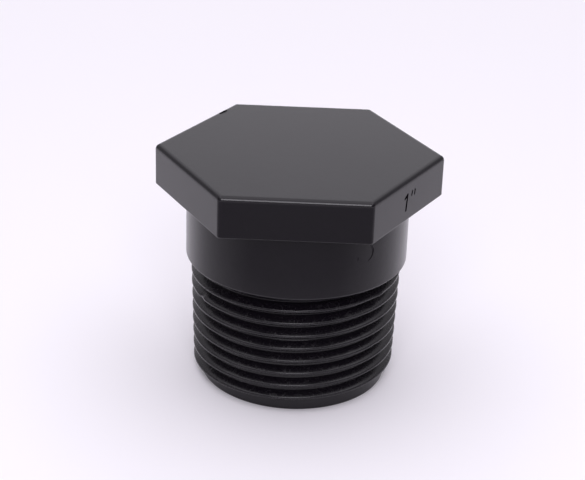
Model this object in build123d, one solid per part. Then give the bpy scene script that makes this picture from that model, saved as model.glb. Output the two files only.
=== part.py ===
from build123d import *
import os
from math import atan2, ceil, cos, degrees, radians, tan

# A moulded hexagon-head pipe plug with a 1 inch tapered pipe thread.
# It stands on its open thread end, with the hexagon on top. The origin is at the
# middle of the thread end, +Z up, and two of the hexagon's corners lie on the X axis.

# Driving dimensions in millimetres and degrees

# Hexagon head
across_flats = 39.1
head_height = 6.65
head_edge_radius = 0.8
head_under_edge_chamfer = 0.2

# Plain round collar between the head and the thread
collar_height = 11.1
collar_step = 0.8
collar_rim_chamfer = 0.6

# Thread: 11.5 turns to the inch, 60 degree form, taper of 1 in 16 on the diameter
threads_per_inch = 11.5
pitch_diameter_at_end = 30.83
diameter_taper = 1 / 16
flank_angle = 30
crest_land = 0.28
root_land = 0.28
thread_end_length = 20.15

# Start of the thread, at the back, and the plain band below it
first_ridge_height = 1.6
first_ridge_angle = 90
run_in_turns = 0.15
lead_band_step = 0.25
lead_edge_chamfer = 0.25

# Moulded recess that opens at the thread end
end_wall = 3.5
top_wall = 4.5
recess_draft = 1
recess_end_chamfer = 1.5
recess_mouth_chamfer = 0.4

# Depth that the ridge's foot is sunk into the core, so that the two make one body
foot_depth = 0.12
run_in_cover = 0.05

# Fixed figures
inch = 25.4
full_turn = 360
hexagon_sides = 6

# Sizes worked out from these
thread_pitch = inch / threads_per_inch
radius_taper = diameter_taper / 2
crest_height = (thread_pitch / 2 - crest_land) / (2 * tan(radians(flank_angle)))
root_depth = (thread_pitch / 2 - root_land) / (2 * tan(radians(flank_angle)))
overall_height = thread_end_length + collar_height + head_height


def pitch_radius(height):
    return pitch_diameter_at_end / 2 + height * radius_taper


def crest_radius(height):
    return pitch_radius(height) + crest_height


def root_radius(height):
    return pitch_radius(height) - root_depth


collar_radius = crest_radius(thread_end_length) + collar_step
lead_band_radius = root_radius(0) + lead_band_step
recess_mouth_radius = lead_band_radius - end_wall
recess_depth = overall_height - top_wall


def recess_radius(height):
    return recess_mouth_radius - height * tan(radians(recess_draft))


# Hexagon with rounded upright corners and a rounded top edge
def hexagon_head():
    outline = RegularPolygon(across_flats / 2, hexagon_sides, major_radius=False)
    head = extrude(outline, head_height)
    top_edges = head.faces().sort_by(Axis.Z)[-1].edges()
    upright_edges = head.edges().filter_by(Axis.Z)
    head = fillet(top_edges + upright_edges, head_edge_radius)
    under_edges = head.faces().sort_by(Axis.Z)[0].edges()
    head = chamfer(under_edges, head_under_edge_chamfer)
    return Pos(0, 0, overall_height - head_height) * head


# Solid round shank: plain lead band, core of the thread and collar, before the recess
def shank():
    rim = thread_end_length
    rim_radius = collar_radius - collar_rim_chamfer
    outline = Polyline(
        (0, 0),
        (lead_band_radius - lead_edge_chamfer, 0),
        (lead_band_radius, lead_edge_chamfer),
        (root_radius(rim), rim),
        (rim_radius, rim),
        (collar_radius, rim + collar_rim_chamfer),
        (collar_radius, rim + collar_height),
        (0, rim + collar_height),
        close=True,
    )
    return revolve(make_face(Plane.XZ * outline), Axis.Z)


# Corners of the ridge's section with its middle at a height, each a radius and a height;
# the foot is sunk a little into the core
def ridge_section(height, tip_radius):
    foot_radius = root_radius(height) - foot_depth
    half_foot = (thread_pitch - root_land) / 2
    half_crest = crest_land / 2
    return [
        (foot_radius, height - half_foot),
        (tip_radius, height - half_crest),
        (tip_radius, height + half_crest),
        (foot_radius, height + half_foot),
    ]


# One edge of the ridge, a conical helix between matching corners of two sections
def ridge_edge(start, end, turns):
    rise = end[1] - start[1]
    cone_angle = degrees(atan2(end[0] - start[0], rise))
    slant_pitch = rise / turns / cos(radians(cone_angle))
    return Helix(slant_pitch, rise, start[0], (0, 0, start[1]), cone_angle=cone_angle).edge()


# Flat end of a stretch of the ridge
def ridge_end(section, turns):
    outline = Polyline(*section, close=True)
    return Rot(0, 0, full_turn * turns) * make_face(Plane.XZ * outline)


# A stretch of the right-hand ridge, ruled between the helices of its four edges
def ridge_stretch(start_section, end_section, turns):
    edges = [ridge_edge(start, end, turns) for start, end in zip(start_section, end_section)]
    neighbours = edges[1:] + edges[:1]
    sides = [Face.make_surface_from_curves(*pair) for pair in zip(edges, neighbours)]
    return Solid(Shell(sides + [ridge_end(start_section, 0), ridge_end(end_section, turns)]))


# Start of the ridge, where it rises out of the core over part of a turn
def ridge_run_in():
    start_height = first_ridge_height - run_in_turns * thread_pitch
    start = ridge_section(start_height, root_radius(start_height) - run_in_cover)
    end = ridge_section(first_ridge_height, crest_radius(first_ridge_height))
    start_angle = first_ridge_angle - full_turn * run_in_turns
    return Rot(0, 0, start_angle) * ridge_stretch(start, end, run_in_turns)


# Ridge at its full height, as many single turns as it takes to end inside the collar
def ridge_turns():
    last_height = thread_end_length + thread_pitch / 2
    turn_count = ceil((last_height - first_ridge_height) / thread_pitch)
    heights = [first_ridge_height + turn * thread_pitch for turn in range(turn_count + 1)]
    sections = [ridge_section(height, crest_radius(height)) for height in heights]
    turns = [ridge_stretch(start, end, 1) for start, end in zip(sections, sections[1:])]
    return [Rot(0, 0, first_ridge_angle) * turn for turn in turns]


# Recess left by the mould's core: drafted, blind, with its inner corner and mouth bevelled
def core_recess():
    outline = Polyline(
        (0, 0),
        (recess_mouth_radius + recess_mouth_chamfer, 0),
        (recess_radius(recess_mouth_chamfer), recess_mouth_chamfer),
        (recess_radius(recess_depth - recess_end_chamfer), recess_depth - recess_end_chamfer),
        (recess_radius(recess_depth) - recess_end_chamfer, recess_depth),
        (0, recess_depth),
        close=True,
    )
    return revolve(make_face(Plane.XZ * outline), Axis.Z)


def threaded_plug():
    solid_plug = shank() + [hexagon_head(), ridge_run_in(), *ridge_turns()]
    return solid_plug - core_recess()


os.makedirs("parts", exist_ok=True)
export_step(threaded_plug(), "parts/threaded_plug.step")
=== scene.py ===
import bpy
import bmesh
from math import atan, ceil, cos, degrees, exp, pi, radians, sin, tan
from mathutils import Matrix, Vector, noise


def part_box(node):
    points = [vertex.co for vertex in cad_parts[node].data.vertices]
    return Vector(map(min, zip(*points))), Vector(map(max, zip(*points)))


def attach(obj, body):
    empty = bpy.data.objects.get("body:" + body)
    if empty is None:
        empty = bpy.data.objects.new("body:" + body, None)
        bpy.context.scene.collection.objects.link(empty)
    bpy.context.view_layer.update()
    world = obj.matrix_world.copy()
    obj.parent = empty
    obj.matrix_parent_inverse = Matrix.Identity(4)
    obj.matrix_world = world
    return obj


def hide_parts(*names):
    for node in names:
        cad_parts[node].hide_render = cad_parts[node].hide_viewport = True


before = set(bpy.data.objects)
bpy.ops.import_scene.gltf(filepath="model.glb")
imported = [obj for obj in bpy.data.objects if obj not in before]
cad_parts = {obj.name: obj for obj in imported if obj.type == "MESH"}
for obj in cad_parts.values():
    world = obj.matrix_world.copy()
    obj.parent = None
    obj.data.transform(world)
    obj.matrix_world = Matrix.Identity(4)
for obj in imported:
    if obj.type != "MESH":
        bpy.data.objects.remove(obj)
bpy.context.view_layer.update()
plugLow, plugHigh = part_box("threaded_plug")
mm = 0.001
print("frame loaded")

# The plug: lengths in millimetres, angles in degrees, heights from the open end
plugShape = {
    "height": plugHigh.z / mm,
    "acrossFlats": (plugHigh.y - plugLow.y) / mm,
    "headHeight": 6.65,
    "headEdgeRadius": 0.8,
    "headLowerRadius": 0.2,
    "collarHeight": 11.1,
    "collarRadius": 17.56,
    "rimChamfer": 0.6,
    "pitch": 25.4 / 11.5,
    "pitchRadius": 15.415,  # at the open end
    "radiusTaper": 1 / 32,
    "toothHalfDepth": 0.714,
    "flankAngle": 30,
    "toothFullness": 0.05,
    "toothRounding": 0.14,
    "firstRidge": 1.6,
    "firstRidgeAngle": 90,
    "runInTurns": 0.15,
    "leadBandRadius": 14.951,
    "leadEdgeRadius": 0.25,
    "mouthRadius": 11.85,
    "mouthBevel": 0.4,
    "coreDraft": 1,
    "coreDepth": 33.4,
    "coreCorner": 1.5,
    "supportGap": 0.08,  # ring beside a rounded edge that keeps the flat next to it flat
    "crestWaver": 0.025,
    "columnsPerCorner": 42,
    "arcColumns": 8,
    "edgeRows": 8,
}
columns = 6 * plugShape["columnsPerCorner"]
rimHeight = plugShape["height"] - plugShape["headHeight"] - plugShape["collarHeight"]
headBottom = plugShape["height"] - plugShape["headHeight"]

# Small marks that moulding and handling left in the thread
threadMarks = [
    {"angle": 213, "height": 16.25, "along": 0.9, "up": 0.5, "lift": 0.22},  # burr at the left
    {"angle": 209, "height": 15.6, "along": 0.7, "up": 0.5, "lift": -0.25},
    {"angle": 323, "height": 18.3, "along": 1.0, "up": 0.45, "lift": 0.2},  # flattened crest
    {"angle": 272, "height": 18.3, "along": 0.3, "up": 0.2, "lift": 0.1},
    {"angle": 322, "height": 9.4, "along": 0.5, "up": 0.3, "lift": -0.12},
    {"angle": 230, "height": 6.9, "along": 0.4, "up": 0.3, "lift": -0.1},
    {"angle": 118, "height": 10.5, "along": 0.8, "up": 0.4, "lift": -0.14},
    {"angle": 35, "height": 14.2, "along": 0.6, "up": 0.4, "lift": -0.12},
]


def roundRing(radius, height):
    turn = 2 * pi / columns
    return [(radius * cos(turn * c), radius * sin(turn * c), height) for c in range(columns + 1)]


# Hexagon with rounded corners, set in from the full size; a corner points along +X
def hexagonRing(inset, cornerRadius, height):
    flat = plugShape["acrossFlats"] / 2 - inset
    half = plugShape["columnsPerCorner"] // 2
    arc = plugShape["arcColumns"] // 2
    ring = []
    for c in range(columns + 1):
        corner = round(c / (2 * half))
        step = c - corner * 2 * half
        lean = max(-1, min(1, step / arc)) * pi / 6
        middle = Vector(((flat - cornerRadius) / cos(pi / 6), 0))
        point = middle + cornerRadius * Vector((cos(lean), sin(lean)))
        if abs(step) > arc:
            side = pi / 6 if step > 0 else -pi / 6
            flatMiddle = flat * Vector((cos(side), sin(side)))
            point = point.lerp(flatMiddle, ((abs(step) - arc) / (half - arc)) ** 1.5)
        point.rotate(Matrix.Rotation(corner * pi / 3, 2))
        ring.append((point.x, point.y, height))
    return ring


def softMin(a, b, blend):
    reach = max(blend - abs(a - b), 0)
    return min(a, b) - reach * reach / (4 * blend)


def softMax(a, b, blend):
    return -softMin(-a, -b, blend)


# Radius of the threaded part, and how near the point is to a crest
def threadAt(angle, height):
    s = plugShape
    turnsUp = (height - s["firstRidge"]) / s["pitch"]
    turnsRound = (angle - s["firstRidgeAngle"]) / 360
    ridge = turnsRound + round(turnsUp - turnsRound)
    offset = abs(turnsUp - ridge)
    depth = s["toothHalfDepth"]
    tooth = (0.25 - offset) * s["pitch"] / tan(radians(s["flankAngle"])) + s["toothFullness"]
    tooth = softMin(tooth, depth, s["toothRounding"])
    tooth = softMax(tooth, -depth, s["toothRounding"])
    grown = max(0, min(1, ridge / s["runInTurns"] + 1))
    grown = grown * grown * (3 - 2 * grown)
    pitchLine = s["pitchRadius"] + height * s["radiusTaper"]
    root = pitchLine - depth
    crestShare = grown * (tooth + depth) / (2 * depth)
    around = radians(angle)
    spot = Vector((cos(around) * 5, sin(around) * 5, ridge * 1.7))
    ridgeRadius = root + crestShare * (2 * depth + s["crestWaver"] * noise.noise(spot))
    bandTop = s["pitchRadius"] + rimHeight * s["radiusTaper"] - depth
    band = s["leadBandRadius"] + (bandTop - s["leadBandRadius"]) * height / rimHeight
    radius = softMax(ridgeRadius, band, 0.08)
    for mark in threadMarks:
        aside = radians((angle - mark["angle"] + 180) % 360 - 180) * radius
        away = (aside / mark["along"]) ** 2 + ((height - mark["height"]) / mark["up"]) ** 2
        radius += mark["lift"] * crestShare * exp(-away)
    return radius, crestShare


# Rows of one turn of the thread, in pitches from the ridge's middle, close at its corners
def toothRows():
    s = plugShape
    lean = tan(radians(s["flankAngle"])) / s["pitch"]
    crest = 0.25 - (s["toothHalfDepth"] - s["toothFullness"]) * lean
    root = 0.25 + (s["toothHalfDepth"] + s["toothFullness"]) * lean
    blend = s["toothRounding"] * lean
    upper = [crest + blend * share for share in (-1, -0.4, 0.4, 1)]
    upper += [crest + (root - crest) * share for share in (0.4, 0.7)]
    upper += [root + blend * share for share in (-1, 0, 1)]
    return [-share for share in reversed(upper)] + [0] + upper + [0.5]


# Rows that climb with the helix, held between the lead edge and the collar's rim
def threadRings():
    s = plugShape
    low = s["leadEdgeRadius"] + s["supportGap"]
    turns = ceil((rimHeight - s["firstRidge"]) / s["pitch"])
    rows = [turn + share for turn in range(-2, turns + 2) for share in toothRows()]
    rings, crests = [], []
    for row in rows:
        ring, crest = [], []
        for c in range(columns + 1):
            angle = 360 * c / columns
            turnsRound = (angle - s["firstRidgeAngle"]) / 360
            height = s["firstRidge"] + (row + turnsRound) * s["pitch"]
            height = max(low, min(rimHeight, height))
            radius, share = threadAt(angle, height)
            around = radians(angle)
            ring.append((radius * cos(around), radius * sin(around), height))
            crest.append(share)
        rings.append(ring)
        crests.append(crest)
    return rings, crests


def quarterArc(rows):
    return [pi / 2 * row / rows for row in range(rows + 1)]


def coreRings():
    s = plugShape
    draft = tan(radians(s["coreDraft"]))
    mouth = s["mouthRadius"] - s["mouthBevel"]
    wallTop = s["coreDepth"] - s["coreCorner"]
    rings = [roundRing(0, s["coreDepth"])]
    wallRadius = mouth - s["coreDepth"] * draft
    inner = wallRadius - s["coreCorner"]
    rings += [roundRing(inner * share, s["coreDepth"]) for share in (0.5, 0.97)]
    for lean in quarterArc(s["edgeRows"]):
        radius = inner + s["coreCorner"] * sin(lean)
        rings.append(roundRing(radius, wallTop + s["coreCorner"] * cos(lean)))
    rows = 12
    for row in range(rows):
        height = wallTop * (1 - row / rows) + s["mouthBevel"] * row / rows
        rings.append(roundRing(mouth - height * draft, height - s["supportGap"]))
    rings.append(roundRing(mouth, s["mouthBevel"]))
    rings.append(roundRing(s["mouthRadius"], 0))
    return rings


def endFaceRings():
    s = plugShape
    radius = s["leadEdgeRadius"]
    middle = s["leadBandRadius"] - radius
    rings = [roundRing(s["mouthRadius"] + s["supportGap"], 0), roundRing(middle - s["supportGap"], 0)]
    for lean in quarterArc(s["edgeRows"] // 2):
        rings.append(roundRing(middle + radius * sin(lean), radius - radius * cos(lean)))
    return rings


def collarRings():
    s = plugShape
    gap = s["supportGap"]
    chamfer = s["rimChamfer"]
    rimRadius = s["collarRadius"] - chamfer
    profile = [
        (rimRadius - gap, rimHeight),
        (rimRadius, rimHeight + gap / 3),
        (rimRadius + gap, rimHeight + gap),
        (s["collarRadius"] - gap, rimHeight + chamfer - gap),
        (s["collarRadius"] - gap / 3, rimHeight + chamfer),
        (s["collarRadius"], rimHeight + chamfer + gap),
    ]
    rings = [roundRing(radius, height) for radius, height in profile]
    rows = 14
    start = rimHeight + chamfer + 2 * gap
    rings += [roundRing(s["collarRadius"], start + (headBottom - start) * row / rows) for row in range(rows + 1)]
    return rings


def headRings():
    s = plugShape
    low = s["headLowerRadius"]
    edge = s["headEdgeRadius"]
    gap = s["supportGap"]
    rings = [hexagonRing(low + gap, edge - low, headBottom)]
    for lean in quarterArc(4):
        inset = low - low * sin(lean)
        rings.append(hexagonRing(inset, edge - inset, headBottom + low - low * cos(lean)))
    lowSide = headBottom + low + gap
    highSide = s["height"] - edge - gap
    rings += [hexagonRing(0, edge, lowSide + (highSide - lowSide) * row / 6) for row in range(7)]
    for lean in quarterArc(s["edgeRows"]):
        inset = edge - edge * cos(lean)
        rings.append(hexagonRing(inset, edge * cos(lean), s["height"] - edge + edge * sin(lean)))
    half = s["acrossFlats"] / 2
    insets = [edge + gap] + [edge + (half - edge) * share for share in (0.08, 0.25, 0.5, 0.75, 1)]
    rings += [hexagonRing(inset, 0, s["height"]) for inset in insets]
    return rings


# One closed skin: up the inside of the core's hollow, round the open end and over the head
def makePlugBody():
    rings = coreRings() + endFaceRings()
    crests = [[0] * (columns + 1) for ring in rings]
    threadPart, threadCrests = threadRings()
    rings += threadPart
    crests += threadCrests
    upper = collarRings() + headRings()
    rings += upper
    crests += [[0] * (columns + 1) for ring in upper]
    edge = plugShape["height"] - plugShape["headEdgeRadius"]
    mesh = bmesh.new()
    rub = mesh.verts.layers.float.new("rub")
    grid = []
    for ring, crest in zip(rings, crests):
        row = [mesh.verts.new([mm * value for value in point]) for point in ring]
        for vertex, share in zip(row, crest):
            vertex[rub] = share
        grid.append(row)
    for lower, higher in zip(grid, grid[1:]):
        for c in range(columns):
            mesh.faces.new((lower[c], lower[c + 1], higher[c + 1], higher[c]))
    bmesh.ops.remove_doubles(mesh, verts=mesh.verts, dist=0.0012 * mm)
    bmesh.ops.dissolve_degenerate(mesh, edges=mesh.edges, dist=0.0005 * mm)
    bmesh.ops.recalc_face_normals(mesh, faces=mesh.faces)
    data = bpy.data.meshes.new("plugBody")
    mesh.to_mesh(data)
    mesh.free()
    body = bpy.data.objects.new("plugBody", data)
    bpy.context.scene.collection.objects.link(body)
    return body


# Marks cut into the head and collar; "along" and "up" lie on the surface
sizeMark = {
    "flatAngle": -30,
    "depth": 0.35,
    "strokes": [  # outlines of the 1 and its two inch strokes, from the flat's middle
        [(-1.35, 32.8), (-0.8, 32.8), (-0.45, 35.75), (-0.75, 35.85), (-1.75, 35.25), (-1.7, 34.85), (-1.0, 35.1)],
        [(0.4, 34.9), (0.75, 34.85), (1.0, 35.75), (0.6, 35.8)],
        [(1.35, 34.75), (1.7, 34.7), (1.85, 35.75), (1.4, 35.8)],
    ],
}
edgeNick = {"angle": 130.6, "radius": 19.85, "height": 37.75, "along": 1.15, "across": 0.5, "deep": 0.38}
gateMark = {
    "angle": 306.8,
    "height": 27.2,
    "radius": 1.55,
    "arcStart": -62,
    "arcEnd": 68,
    "width": 0.17,
    "tickAside": -1.25,
    "tickLow": -1.0,
    "tickHigh": -0.25,
}


def addSolid(mesh, bottom, top):
    low = [mesh.verts.new(point) for point in bottom]
    high = [mesh.verts.new(point) for point in top]
    count = len(low)
    for i in range(count):
        j = (i + 1) % count
        mesh.faces.new((low[i], low[j], high[j], high[i]))
    mesh.faces.new(low[::-1])
    mesh.faces.new(high)


def cutSizeMark(mesh):
    turn = Matrix.Rotation(radians(sizeMark["flatAngle"]), 4, "Z")
    face = plugShape["acrossFlats"] / 2
    for stroke in sizeMark["strokes"]:
        outer = [turn @ Vector((face + 0.2, along, up)) * mm for along, up in stroke]
        middle = sum((Vector(point) for point in stroke), Vector((0, 0))) / len(stroke)
        narrowed = [middle + 0.85 * (Vector(point) - middle) for point in stroke]
        inner = [turn @ Vector((face - sizeMark["depth"], along, up)) * mm for along, up in narrowed]
        addSolid(mesh, inner, outer)


def cutEdgeNick(mesh):
    n = edgeNick
    around = radians(n["angle"])
    place = Matrix.Translation(Vector((n["radius"] * cos(around), n["radius"] * sin(around), n["height"])) * mm)
    lie = Matrix.Rotation(radians(60), 4, "Z") @ Matrix.Rotation(radians(35), 4, "X")
    size = Matrix.Diagonal((n["along"] * mm, n["across"] * mm, n["deep"] * mm, 1))
    made = bmesh.ops.create_icosphere(mesh, subdivisions=3, radius=1)["verts"]
    for vertex in made:
        vertex.co *= 1 + 0.25 * noise.noise(vertex.co * 1.6)
        vertex.co = place @ lie @ size @ vertex.co


# A thin groove: a pointed tube along a path on the collar's surface
def cutGroove(mesh, path, width):
    sides = 8
    rings = []
    for i, point in enumerate(path):
        ahead = path[min(i + 1, len(path) - 1)] - path[max(i - 1, 0)]
        out = Vector((point.x, point.y, 0)).normalized()
        across = ahead.cross(out).normalized()
        share = 0.25 + 0.75 * sin(pi * i / (len(path) - 1))
        rings.append([
            mesh.verts.new(point + width * share * (across * cos(2 * pi * k / sides) + out * sin(2 * pi * k / sides)))
            for k in range(sides)
        ])
    for lower, higher in zip(rings, rings[1:]):
        for k in range(sides):
            j = (k + 1) % sides
            mesh.faces.new((lower[k], lower[j], higher[j], higher[k]))
    mesh.faces.new(rings[0][::-1])
    mesh.faces.new(rings[-1])


def onCollar(aside, up):
    around = radians(gateMark["angle"]) + aside / plugShape["collarRadius"]
    radius = plugShape["collarRadius"]
    return Vector((radius * cos(around), radius * sin(around), gateMark["height"] + up)) * mm


def cutGateMark(mesh):
    g = gateMark
    steps = 16
    leans = [radians(g["arcStart"] + (g["arcEnd"] - g["arcStart"]) * i / steps) for i in range(steps + 1)]
    cutGroove(mesh, [onCollar(g["radius"] * cos(lean), g["radius"] * sin(lean)) for lean in leans], g["width"] * mm)
    ups = [g["tickLow"] + (g["tickHigh"] - g["tickLow"]) * i / 4 for i in range(5)]
    cutGroove(mesh, [onCollar(g["tickAside"], up) for up in ups], 0.6 * g["width"] * mm)


def cutMarks(body):
    mesh = bmesh.new()
    cutSizeMark(mesh)
    cutEdgeNick(mesh)
    cutGateMark(mesh)
    bmesh.ops.recalc_face_normals(mesh, faces=mesh.faces)
    data = bpy.data.meshes.new("markCutter")
    mesh.to_mesh(data)
    mesh.free()
    cutter = bpy.data.objects.new("markCutter", data)
    bpy.context.scene.collection.objects.link(cutter)
    cut = body.modifiers.new("marks", "BOOLEAN")
    cut.operation = "DIFFERENCE"
    cut.solver = "EXACT"
    cut.object = cutter
    settled = body.evaluated_get(bpy.context.evaluated_depsgraph_get())
    finished = bpy.data.meshes.new_from_object(settled)
    body.modifiers.clear()
    body.data = finished
    bpy.data.objects.remove(cutter)


def smoothBody(body):
    body.data.shade_smooth()
    body.data.set_sharp_from_angle(angle=radians(32))


# Black moulded plastic: satin, with flow marks, grain and rubbed thread crests
blackPlastic = {
    "colour": (0.0042, 0.0030, 0.0053, 1),
    "rubbedColour": (0.014, 0.012, 0.015, 1),
    "roughLow": 0.18,
    "roughHigh": 0.28,
    "rubbedRough": 0.5,
    "refraction": 1.47,
    "grainSize": 0.18,
    "flowSize": 1.1,
    "grainBump": 0.05,
    "flowBump": 0.12,
}


def addNode(tree, kind, place, **values):
    node = tree.nodes.new(kind)
    node.location = place
    for name, value in values.items():
        if hasattr(node, name):
            setattr(node, name, value)
        else:
            node.inputs[name].default_value = value
    return node


def makeBlackPlastic():
    p = blackPlastic
    material = bpy.data.materials.new("blackPlastic")
    material.use_nodes = True
    tree = material.node_tree
    join = tree.links.new
    shader = tree.nodes["Principled BSDF"]
    shader.inputs["IOR"].default_value = p["refraction"]
    place = addNode(tree, "ShaderNodeTexCoord", (-1500, 0)).outputs["Object"]
    rub = addNode(tree, "ShaderNodeAttribute", (-1500, -300), attribute_name="rub").outputs["Fac"]
    grain = addNode(tree, "ShaderNodeTexNoise", (-1200, -500), Scale=1 / (p["grainSize"] * mm), Detail=3)
    flow = addNode(tree, "ShaderNodeTexNoise", (-1200, -200), Scale=1 / (p["flowSize"] * mm), Detail=5, Distortion=1.5)
    cloud = addNode(tree, "ShaderNodeTexNoise", (-1200, 100), Scale=120, Detail=3)
    for texture in (grain, flow, cloud):
        join(place, texture.inputs["Vector"])
    scuff = addNode(tree, "ShaderNodeMapRange", (-900, -300), interpolation_type="SMOOTHSTEP")
    scuff.inputs["From Min"].default_value = 0.52
    scuff.inputs["From Max"].default_value = 0.72
    join(flow.outputs["Fac"], scuff.inputs["Value"])
    rubbed = addNode(tree, "ShaderNodeMath", (-650, -300), operation="MULTIPLY")
    join(scuff.outputs["Result"], rubbed.inputs[0])
    join(rub, rubbed.inputs[1])
    colour = addNode(tree, "ShaderNodeMix", (-400, 200), data_type="RGBA")
    colour.inputs[6].default_value = p["colour"]
    colour.inputs[7].default_value = p["rubbedColour"]
    join(rubbed.outputs["Value"], colour.inputs[0])
    join(colour.outputs[2], shader.inputs["Base Color"])
    rough = addNode(tree, "ShaderNodeMapRange", (-650, 0))
    rough.inputs["To Min"].default_value = p["roughLow"]
    rough.inputs["To Max"].default_value = p["roughHigh"]
    join(cloud.outputs["Fac"], rough.inputs["Value"])
    roughMix = addNode(tree, "ShaderNodeMix", (-400, -50), data_type="FLOAT")
    roughMix.inputs[3].default_value = p["rubbedRough"]
    join(rubbed.outputs["Value"], roughMix.inputs[0])
    join(rough.outputs["Result"], roughMix.inputs[2])
    join(roughMix.outputs[0], shader.inputs["Roughness"])
    flowBump = addNode(tree, "ShaderNodeBump", (-650, -500), Strength=p["flowBump"], Distance=0.1 * mm)
    join(flow.outputs["Fac"], flowBump.inputs["Height"])
    grainBump = addNode(tree, "ShaderNodeBump", (-400, -500), Strength=p["grainBump"], Distance=0.05 * mm)
    join(grain.outputs["Fac"], grainBump.inputs["Height"])
    join(flowBump.outputs["Normal"], grainBump.inputs["Normal"])
    join(grainBump.outputs["Normal"], shader.inputs["Normal"])
    return material


plugBody = makePlugBody()
cutMarks(plugBody)
smoothBody(plugBody)
plugBody.data.materials.clear()
plugBody.data.materials.append(makeBlackPlastic())
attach(plugBody, "root")
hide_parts("threaded_plug")
print("plug body made,", len(plugBody.data.polygons), "faces")

# Floor and the grey card that the photographer's side of the table mirrors as
studio = {
    "floorSize": 4.0,
    "floorColour": (0.955, 0.935, 0.965, 1),
    "cardInner": 36,
    "cardFade": 26,
    "cardOuter": 260,
    "cardGrey": (0.32, 0.31, 0.325, 1),
    "cardFull": 42,
    "cardEnd": 112,
}


def makeFloor():
    bpy.ops.mesh.primitive_plane_add(size=studio["floorSize"])
    floor = bpy.context.object
    floor.name = "floor"
    material = bpy.data.materials.new("floorPaper")
    material.use_nodes = True
    shader = material.node_tree.nodes["Principled BSDF"]
    shader.inputs["Base Color"].default_value = studio["floorColour"]
    shader.inputs["Roughness"].default_value = 1
    shader.inputs["Specular IOR Level"].default_value = 0
    floor.data.materials.append(material)


# Lies round the front, past the picture's edge, and only reflections see it
def makeGreyCard():
    s = studio
    mesh = bmesh.new()
    fade = mesh.verts.layers.float.new("fade")
    steps = 56
    spots = []
    for i in range(steps + 1):
        aside = -s["cardEnd"] + 2 * s["cardEnd"] * i / steps
        strength = max(0, min(1, (s["cardEnd"] - abs(aside)) / (s["cardEnd"] - s["cardFull"])))
        around = radians(aside - 90)
        row = []
        for radius, share in ((s["cardInner"], 0), (s["cardInner"] + s["cardFade"], 1), (s["cardOuter"], 1)):
            vertex = mesh.verts.new((radius * mm * cos(around), radius * mm * sin(around), 0.2 * mm))
            vertex[fade] = share * strength
            row.append(vertex)
        spots.append(row)
    for here, there in zip(spots, spots[1:]):
        for k in range(2):
            mesh.faces.new((here[k], here[k + 1], there[k + 1], there[k]))
    data = bpy.data.meshes.new("greyCard")
    mesh.to_mesh(data)
    mesh.free()
    card = bpy.data.objects.new("greyCard", data)
    bpy.context.scene.collection.objects.link(card)
    material = bpy.data.materials.new("greyCard")
    material.use_nodes = True
    tree = material.node_tree
    tree.nodes.clear()
    join = tree.links.new
    grey = addNode(tree, "ShaderNodeBsdfDiffuse", (-200, 0), Color=s["cardGrey"])
    clear = addNode(tree, "ShaderNodeBsdfTransparent", (-200, 150))
    share = addNode(tree, "ShaderNodeAttribute", (-200, 300), attribute_name="fade")
    mix = addNode(tree, "ShaderNodeMixShader", (0, 0))
    out = addNode(tree, "ShaderNodeOutputMaterial", (200, 0))
    join(share.outputs["Fac"], mix.inputs["Fac"])
    join(clear.outputs["BSDF"], mix.inputs[1])
    join(grey.outputs["BSDF"], mix.inputs[2])
    join(mix.outputs["Shader"], out.inputs["Surface"])
    card.data.materials.append(material)
    card.visible_camera = False
    card.visible_diffuse = False
    card.visible_shadow = False
    card.visible_transmission = False


# Light tent: its levels at heights above the floor, on four sides that blend into each other
lighting = {
    "tint": (1.03, 1.0, 1.07, 1),
    "elevations": (0, 12, 25, 40, 57, 90),
    "front": (0.6, 0.15, 0.12, 0.2, 0.85, 1.5),
    "back": (0.95, 1.05, 0.63, 1.3, 0.95, 1.5),
    "left": (0.6, 0.12, 0.15, 0.25, 1.8, 1.5),
    "right": (0.6, 0.12, 0.15, 0.25, 1.8, 1.5),
    "windowElevation": 38,
    "windowDistance": 0.8,
    "windowWidth": 0.42,
    "windowHeight": 0.3,
    "windowPower": 2.25,
}


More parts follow.
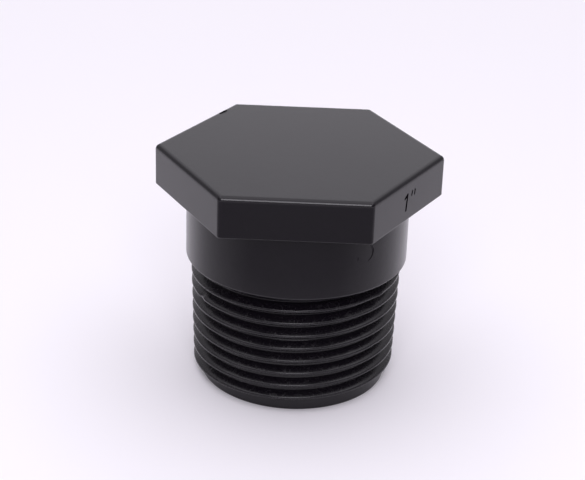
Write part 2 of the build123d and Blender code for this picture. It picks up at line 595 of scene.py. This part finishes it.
def makeTent():
    world = bpy.data.worlds.new("tent")
    bpy.context.scene.world = world
    world.use_nodes = True
    tree = world.node_tree
    join = tree.links.new
    direction = addNode(tree, "ShaderNodeTexCoord", (-1500, 0)).outputs["Generated"]
    upward = addNode(tree, "ShaderNodeSeparateXYZ", (-1300, 300))
    rise = addNode(tree, "ShaderNodeMath", (-1100, 300), operation="ARCSINE")
    share = addNode(tree, "ShaderNodeMath", (-900, 300), operation="DIVIDE")
    flat = addNode(tree, "ShaderNodeVectorMath", (-1300, 0), operation="MULTIPLY")
    heading = addNode(tree, "ShaderNodeVectorMath", (-1100, 0), operation="NORMALIZE")
    share.inputs[1].default_value = pi / 2
    flat.inputs[1].default_value = (1, 1, 0)
    join(direction, upward.inputs["Vector"])
    join(upward.outputs["Z"], rise.inputs[0])
    join(rise.outputs["Value"], share.inputs[0])
    join(direction, flat.inputs[0])
    join(flat.outputs["Vector"], heading.inputs[0])
    sides = {"front": (0, -1, 0), "back": (0, 1, 0), "left": (-1, 0, 0), "right": (1, 0, 0)}
    total = addNode(tree, "ShaderNodeValue", (-300, 600)).outputs["Value"]
    total.default_value = 0
    for i, (side, way) in enumerate(sides.items()):
        levels = addNode(tree, "ShaderNodeValToRGB", (-700, -300 * i))
        stops = levels.color_ramp.elements
        while len(stops) < len(lighting["elevations"]):
            stops.new(0.5)
        for stop, elevation, level in zip(stops, lighting["elevations"], lighting[side]):
            stop.position = elevation / 90
            stop.color = (level, level, level, 1)
        toward = addNode(tree, "ShaderNodeVectorMath", (-900, -300 * i), operation="DOT_PRODUCT")
        toward.inputs[1].default_value = way
        facing = addNode(tree, "ShaderNodeMath", (-700, -150 - 300 * i), operation="MAXIMUM")
        facing.inputs[1].default_value = 0
        squared = addNode(tree, "ShaderNodeMath", (-500, -150 - 300 * i), operation="POWER")
        squared.inputs[1].default_value = 2
        added = addNode(tree, "ShaderNodeMath", (-300, -300 * i), operation="MULTIPLY_ADD")
        join(share.outputs["Value"], levels.inputs["Fac"])
        join(heading.outputs["Vector"], toward.inputs[0])
        join(toward.outputs["Value"], facing.inputs[0])
        join(facing.outputs["Value"], squared.inputs[0])
        join(levels.outputs["Color"], added.inputs[0])
        join(squared.outputs["Value"], added.inputs[1])
        join(total, added.inputs[2])
        total = added.outputs["Value"]
    sky = tree.nodes["Background"]
    sky.inputs["Color"].default_value = lighting["tint"]
    join(total, sky.inputs["Strength"])


# Narrow bright window in front of the plug
def makeWindow():
    light = lighting
    data = bpy.data.lights.new("window", "AREA")
    data.shape = "RECTANGLE"
    data.size = light["windowWidth"]
    data.size_y = light["windowHeight"]
    data.energy = light["windowPower"]
    data.color = light["tint"][:3]
    window = bpy.data.objects.new("window", data)
    bpy.context.scene.collection.objects.link(window)
    lean = radians(light["windowElevation"])
    away = Vector((0, -cos(lean), sin(lean)))
    window.location = away * light["windowDistance"]
    window.rotation_euler = (-away).to_track_quat("-Z", "Y").to_euler()


makeFloor()
makeGreyCard()
makeTent()
makeWindow()
print("studio made")

# Camera at the photograph's viewing angle
cameraSetup = {
    "place": (3.0034, -236.7866, 133.8849),
    "elevation": 25.237,
    "heading": 0.858,
    "roll": 2.0215,
    "lens": 101.089,
    "shiftRight": 0.7,  # picture elements
    "shiftDown": 0.5,
}
imageWidth = 585


def makeCamera():
    c = cameraSetup
    data = bpy.data.cameras.new("camera")
    data.sensor_width = 36
    data.lens = c["lens"]
    data.clip_start = 0.01
    data.clip_end = 20
    data.shift_x = -c["shiftRight"] / imageWidth
    data.shift_y = c["shiftDown"] / imageWidth
    camera = bpy.data.objects.new("camera", data)
    bpy.context.scene.collection.objects.link(camera)
    look = Matrix.Rotation(radians(c["heading"]), 4, "Z") @ Matrix.Rotation(radians(90 - c["elevation"]), 4, "X")
    look = look @ Matrix.Rotation(radians(c["roll"]), 4, "Z")
    camera.matrix_world = Matrix.Translation(Vector(c["place"]) * mm) @ look
    bpy.context.scene.camera = camera


makeCamera()
bpy.context.scene.view_settings.view_transform = "Standard"
print("camera made")
